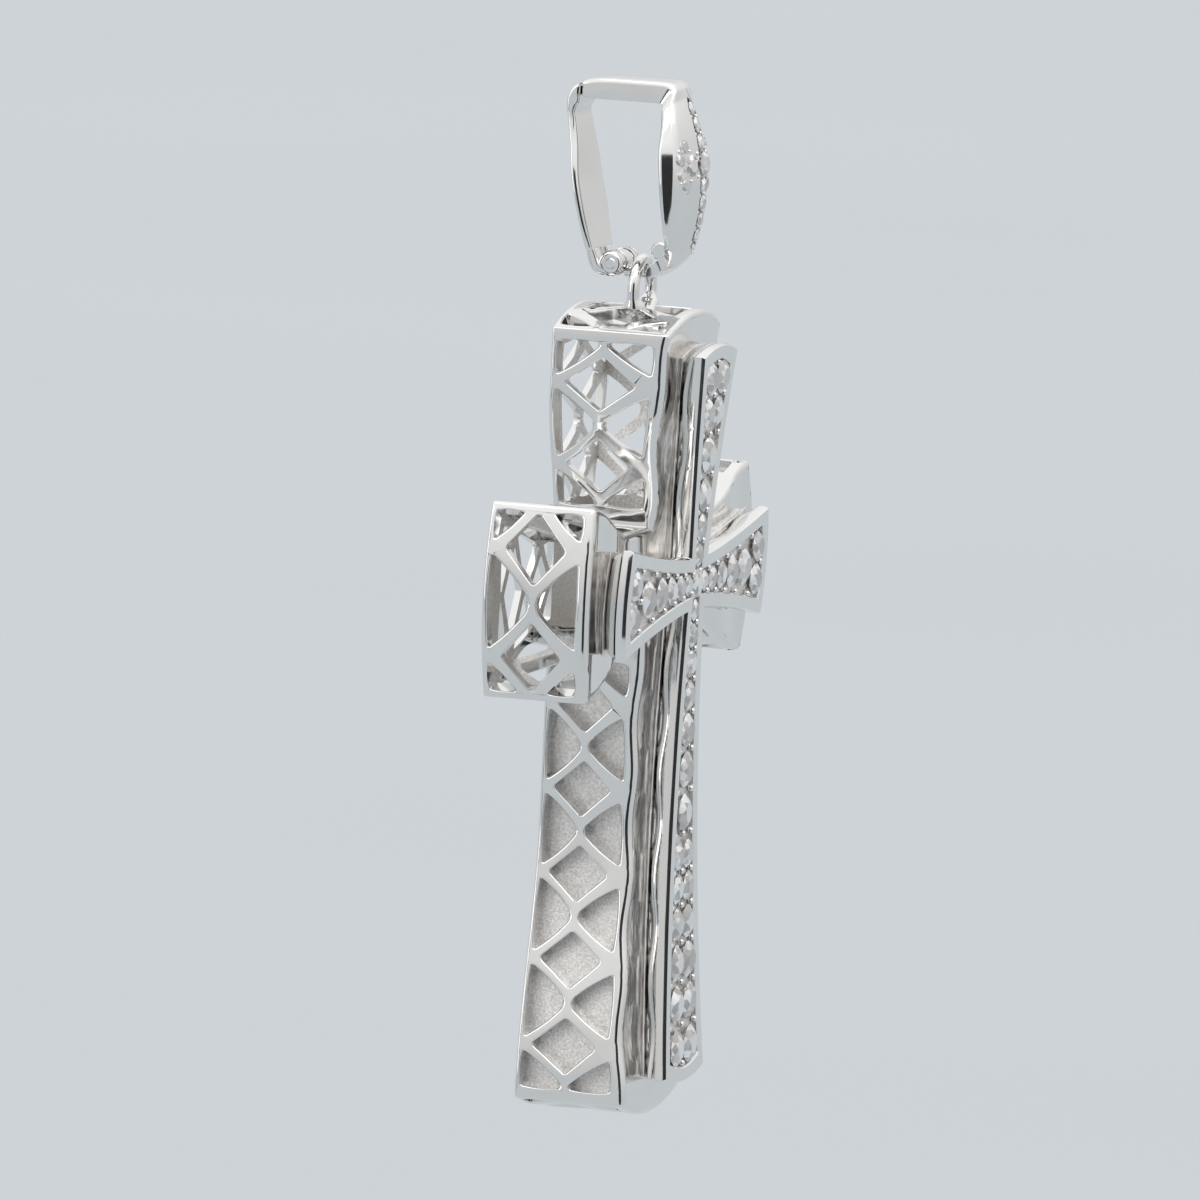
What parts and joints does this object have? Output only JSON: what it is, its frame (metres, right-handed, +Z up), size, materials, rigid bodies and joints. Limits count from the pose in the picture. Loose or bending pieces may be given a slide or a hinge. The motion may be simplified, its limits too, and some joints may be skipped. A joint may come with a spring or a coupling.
{
  "type": "diamond cross pendant on a hinged bail",
  "caption": "Openwork box cross with a diamond-set cross on its front, hung by a soldered ring from a hinged, stone-set bail.",
  "frame": {"origin": "chain seat: the middle of the underside of the bail's top strap, where a chain carries the pendant", "axes": "+Z up as it hangs, -Y out of the diamond-set front, +X to the right seen from the front"},
  "size_m": [0.0326, 0.0097, 0.0602],
  "materials": {
    "polished_white_gold": "mirror polished, rhodium plated; sandy as-cast floors in the pockets",
    "diamonds": "round brilliant cut, bead set"
  },
  "bodies": {
    "bail": {"bail_front": "polished_white_gold", "bail_pave": "diamonds"},
    "back_leaf": {"bail_back": "polished_white_gold", "hinge_pin": "polished_white_gold"},
    "pendant": {"gallery_box": "polished_white_gold", "diamond_cross": "polished_white_gold", "cross_pave": "diamonds"}
  },
  "joints": [
    {"name": "bail_opens", "type": "hinge", "parent": "bail", "child": "back_leaf", "pos_m": [0, 0.00107, -0.00945], "axis": [-1, 0, 0], "range_deg": [0, 60]},
    {"name": "pendant_swings", "type": "hinge", "parent": "bail", "child": "pendant", "pos_m": [0, -0.0004, -0.00994], "axis": [0, 1, 0], "range_deg": [-45, 45]}
  ]
}
